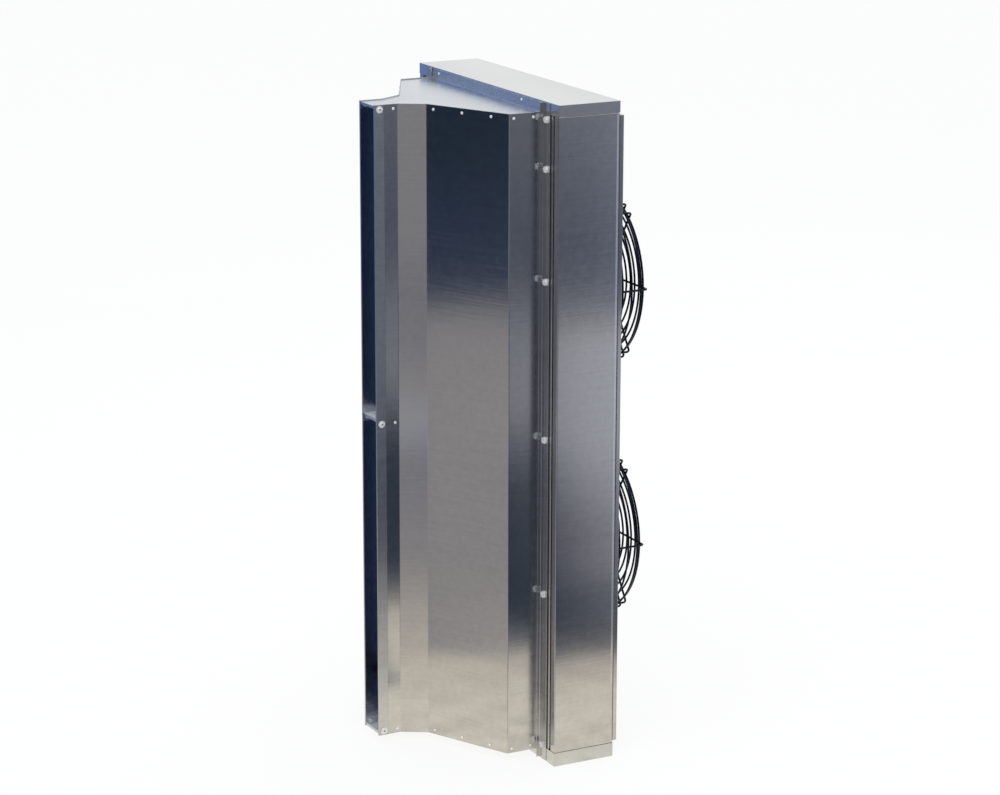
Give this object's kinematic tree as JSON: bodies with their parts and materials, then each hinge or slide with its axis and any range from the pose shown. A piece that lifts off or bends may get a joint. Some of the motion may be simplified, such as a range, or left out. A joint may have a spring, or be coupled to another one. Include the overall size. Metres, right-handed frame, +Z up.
{
  "type": "industrial air curtain",
  "caption": "Upright air curtain: narrow sheet steel box with axial fans behind, a water heater inside and a folded nozzle ending in one tall slot.",
  "frame": {"origin": "centre of the box's base, on the floor", "axes": "+Z up, -Y out of the slot, +Y out of the fans, +X to the plain side panel; the water stubs leave on the -X side"},
  "size_m": [0.943, 0.7938, 2],
  "materials": {
    "stainless": "satin stainless sheet",
    "galvanised": "plain galvanised sheet",
    "fastener": "bright stainless fasteners",
    "seal": "black foam rubber",
    "fin": "mill finish fins",
    "copper": "copper tube",
    "guard": "glossy black coating",
    "motor": "satin black coating",
    "blade": "satin black coating",
    "terminal": "light grey powder coat",
    "gland": "black moulded plastic"
  },
  "bodies": {
    "casing": {"base_tray": "stainless", "top_lid": "stainless", "near_side_panel": "stainless", "far_side_panel": "stainless", "front_frame": "stainless", "front_posts": "galvanised", "rear_posts": "galvanised", "rear_panel": "stainless", "nozzle_seal": "seal", "near_nozzle_wall": "stainless", "far_nozzle_wall": "stainless", "nozzle_top_plate": "stainless", "nozzle_bottom_plate": "stainless", "near_fixing_angle": "stainless", "far_fixing_angle": "stainless", "near_lip_trim": "stainless", "far_lip_trim": "stainless", "slot_shelf": "stainless", "flange_bolts": "fastener", "flange_washers": "fastener", "flange_nuts": "fastener", "nozzle_screws": "fastener", "lip_screws": "fastener", "lip_nuts": "fastener", "flange_screws": "fastener", "rear_panel_screws": "fastener", "heater_fin_block": "fin", "heater_casing_plates": "galvanised", "heater_return_bends": "copper", "supply_header": "copper", "return_header": "copper", "upper_inlet_ring": "galvanised", "lower_inlet_ring": "galvanised", "upper_guard_face": "guard", "lower_guard_face": "guard", "upper_guard_rings": "guard", "lower_guard_rings": "guard", "upper_guard_legs": "guard", "lower_guard_legs": "guard", "upper_motor_stator": "motor", "lower_motor_stator": "motor", "upper_motor_bearings": "fastener", "lower_motor_bearings": "fastener", "motor_bolts": "fastener", "guard_bolts": "fastener", "terminal_box": "terminal", "terminal_box_lid": "terminal", "terminal_box_screws": "fastener", "cable_glands": "gland"},
    "upper_impeller": {"upper_rotor": "motor", "upper_blades": "blade"},
    "lower_impeller": {"lower_rotor": "motor", "lower_blades": "blade"}
  },
  "joints": [
    {"name": "upper_fan_spin", "type": "hinge", "parent": "casing", "child": "upper_impeller", "pos_m": [0, 0.15, 1.39], "axis": [0, 1, 0], "continuous": true},
    {"name": "lower_fan_spin", "type": "hinge", "parent": "casing", "child": "lower_impeller", "pos_m": [0, 0.15, 0.59], "axis": [0, 1, 0], "continuous": true}
  ]
}
